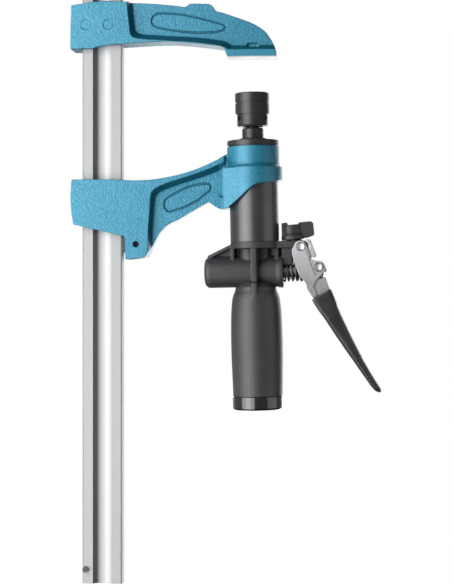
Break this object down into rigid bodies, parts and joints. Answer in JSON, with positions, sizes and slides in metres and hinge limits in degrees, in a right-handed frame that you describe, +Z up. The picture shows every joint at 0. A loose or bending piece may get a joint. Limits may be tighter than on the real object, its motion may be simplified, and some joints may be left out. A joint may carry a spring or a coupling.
{
  "type": "hydraulic clamp",
  "caption": "Rail clamp whose sliding arm carries a hand-pumped hydraulic ram with a swivelling pressure pad.",
  "frame": {"origin": "centre of the fixed jaw's pressure face, on the ram line", "axes": "+Z up along the rail, +X from the rail towards the ram, -Y towards the side that the picture shows"},
  "size_m": [0.271, 0.0504, 0.5165],
  "materials": {
    "rail_steel": "zinc-plated rolled bar",
    "bright_steel": "bright machined steel",
    "blue_paint": "hammered paint on a casting",
    "black_tube": "satin black",
    "black_steel": "black oxide",
    "black_rubber": "moulded",
    "bronze": "turned",
    "black_plastic": "fine moulded texture",
    "grip_plastic": "soft satin",
    "dark_cap": "glossy",
    "lever_metal": "cast, fine satin",
    "sleeve_plastic": "dipped"
  },
  "bodies": {
    "frame": {"rail": "rail_steel", "rail_stop_pin": "bright_steel", "fixed_jaw": "blue_paint", "jaw_rivets": "blue_paint"},
    "arm": {"sliding_arm": "blue_paint", "brake_pin": "bright_steel", "brake_spring": "bright_steel", "cylinder_tube": "black_tube", "gland_nut": "black_steel", "rod_wiper": "black_rubber", "ram_return_spring": "black_steel", "pump_housing": "black_plastic", "handle_grip": "grip_plastic", "reservoir_bladder": "black_rubber", "end_cap": "dark_cap", "end_cap_o_ring": "black_rubber", "plunger_seal": "black_rubber", "return_spring": "black_steel", "check_balls": "bright_steel", "check_springs": "bright_steel", "valve_plugs": "bronze", "pivot_pin": "bright_steel", "valve_o_ring": "black_rubber", "valve_ball": "bright_steel"},
    "brake": {"brake_shoe": "black_plastic"},
    "ram": {"ram_rod": "black_steel", "piston": "bright_steel", "piston_seal": "black_rubber"},
    "swivel": {"swivel_seat": "bronze"},
    "pad": {"swivel_cup": "black_steel", "pressure_cap": "black_steel", "cup_screws": "black_steel"},
    "lever": {"lever_yoke": "lever_metal", "lever_sleeve": "sleeve_plastic", "drive_pin": "bright_steel", "pin_clips": "bright_steel"},
    "plunger": {"pump_plunger": "bright_steel", "spring_collar": "black_steel"},
    "knob": {"release_knob": "black_plastic", "valve_spindle": "bright_steel"}
  },
  "joints": [
    {"name": "arm_slide", "type": "slide", "parent": "frame", "child": "arm", "axis": [0, 0, 1], "range_m": [-0.297, 0]},
    {"name": "brake_rock", "type": "hinge", "parent": "arm", "child": "brake", "pos_m": [-0.09989, 0, -0.16242], "axis": [0, 1, 0], "range_deg": [-2, 0], "stiffness_Nm_per_rad": 0.3, "springref_deg": 11.46, "deforming": ["brake_spring"]},
    {"name": "ram_extend", "type": "slide", "parent": "arm", "child": "ram", "axis": [-0.0197, 0, 0.9998], "range_m": [0, 0.026], "deforming": ["ram_return_spring"]},
    {"name": "pad_tilt", "type": "hinge", "parent": "ram", "child": "swivel", "pos_m": [0.00096, 0, -0.04868], "axis": [0, 1, 0], "range_deg": [-6, 6]},
    {"name": "pad_spin", "type": "hinge", "parent": "swivel", "child": "pad", "pos_m": [0.00096, 0, -0.04868], "axis": [-0.0197, 0, 0.9998], "continuous": true},
    {"name": "lever_squeeze", "type": "hinge", "parent": "arm", "child": "lever", "pos_m": [0.04336, 0, -0.16468], "axis": [0, 1, 0], "range_deg": [0, 25], "stiffness_Nm_per_rad": 1.2, "springref_deg": -22.92},
    {"name": "plunger_slide", "type": "slide", "parent": "arm", "child": "plunger", "axis": [-0.9998, 0, -0.0197], "range_m": [0, 0.0092], "deforming": ["return_spring"]},
    {"name": "knob_turn", "type": "hinge", "parent": "arm", "child": "knob", "pos_m": [0.03655, 0, -0.15951], "axis": [-0.0981, 0, 0.9952], "range_deg": [0, 90]}
  ],
  "couplings": [
    {"joint": "plunger_slide", "follows": "lever_squeeze", "m_per_rad": 0.020849}
  ]
}
